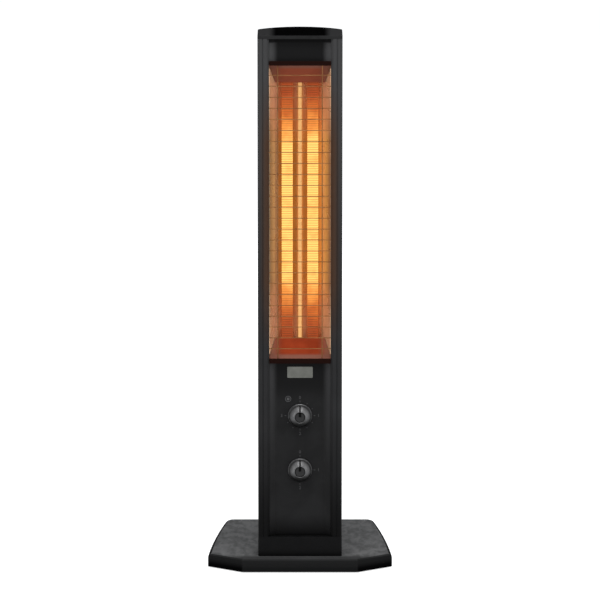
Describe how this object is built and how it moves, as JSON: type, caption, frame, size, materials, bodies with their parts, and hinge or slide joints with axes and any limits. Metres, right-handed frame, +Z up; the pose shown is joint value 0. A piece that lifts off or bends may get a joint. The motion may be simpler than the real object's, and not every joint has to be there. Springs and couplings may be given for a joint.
{
  "type": "tower heater",
  "caption": "Upright radiant tower heater with two wound mica elements, a wire grille, two knobs and a flat base.",
  "frame": {"origin": "on the floor, under the middle of the base's box", "axes": "+Z up along the tower, -Y out of the window, +X to the right as seen from the front"},
  "size_m": [0.2696, 0.25, 0.789],
  "materials": {
    "base_plastic": "fine-textured charcoal moulding",
    "weight_steel": "grey primer",
    "foot_rubber": "matt",
    "fastener_steel": "zinc plated",
    "black_plastic": "satin black moulding",
    "red_plastic": "smooth",
    "profile_aluminium": "satin black powder coat",
    "panel_steel": "satin black paint",
    "cover_steel": "satin black paint",
    "trim_aluminium": "brushed, bare",
    "bracket_steel": "bare sheet",
    "reflector_aluminium": "polished",
    "mica": "flaky board",
    "ribbon_alloy": "glowing hot",
    "ceramic": "unglazed steatite",
    "grille_wire": "heat-proof dark coat",
    "brown_phenolic": "moulded phenolic",
    "white_plastic": "moulded",
    "shaft_steel": "turned",
    "knob_silver": "satin chrome"
  },
  "bodies": {
    "tower": {"base_cover": "base_plastic", "base_plate": "weight_steel", "rubber_feet": "foot_rubber", "base_screws": "fastener_steel", "tower_screws": "fastener_steel", "tip_switch": "black_plastic", "foot_collar": "black_plastic", "profile_screws": "fastener_steel", "left_profile": "profile_aluminium", "right_profile": "profile_aluminium", "rear_cover": "cover_steel", "top_cap": "black_plastic", "control_panel": "panel_steel", "upper_panel": "panel_steel", "trim_plate": "trim_aluminium", "cord_gland": "black_plastic", "gland_nut": "black_plastic", "terminal_block": "white_plastic", "heat_shield": "bracket_steel", "thermal_cutout": "white_plastic", "switch_screws": "fastener_steel", "thermostat_body": "brown_phenolic", "selector_body": "white_plastic", "lower_bracket": "bracket_steel", "upper_bracket": "bracket_steel", "bracket_screws": "fastener_steel", "holder_screws": "fastener_steel", "left_lower_holder": "ceramic", "left_upper_holder": "ceramic", "right_lower_holder": "ceramic", "right_upper_holder": "ceramic", "left_mica_board": "mica", "right_mica_board": "mica", "left_ribbon": "ribbon_alloy", "right_ribbon": "ribbon_alloy", "ribbon_lugs": "shaft_steel", "reflector": "reflector_aluminium", "grille": "grille_wire"},
    "thermostat_dial": {"thermostat_shaft": "shaft_steel", "thermostat_knob": "knob_silver", "thermostat_cap": "black_plastic"},
    "selector_dial": {"selector_shaft": "shaft_steel", "selector_knob": "knob_silver", "selector_cap": "black_plastic"},
    "tip_sensor": {"tip_plunger": "red_plastic"}
  },
  "joints": [
    {"name": "thermostat_turn", "type": "hinge", "parent": "tower", "child": "thermostat_dial", "pos_m": [0, -0.1018, 0.23], "axis": [0, 1, 0], "range_deg": [0, 270]},
    {"name": "selector_turn", "type": "hinge", "parent": "tower", "child": "selector_dial", "pos_m": [0, -0.1018, 0.149], "axis": [0, 1, 0], "range_deg": [0, 180]},
    {"name": "tip_plunger_slide", "type": "slide", "parent": "tower", "child": "tip_sensor", "axis": [0, 0, -1], "range_m": [0, 0.004], "stiffness_N_per_m": 80, "springref_m": 0.009}
  ]
}
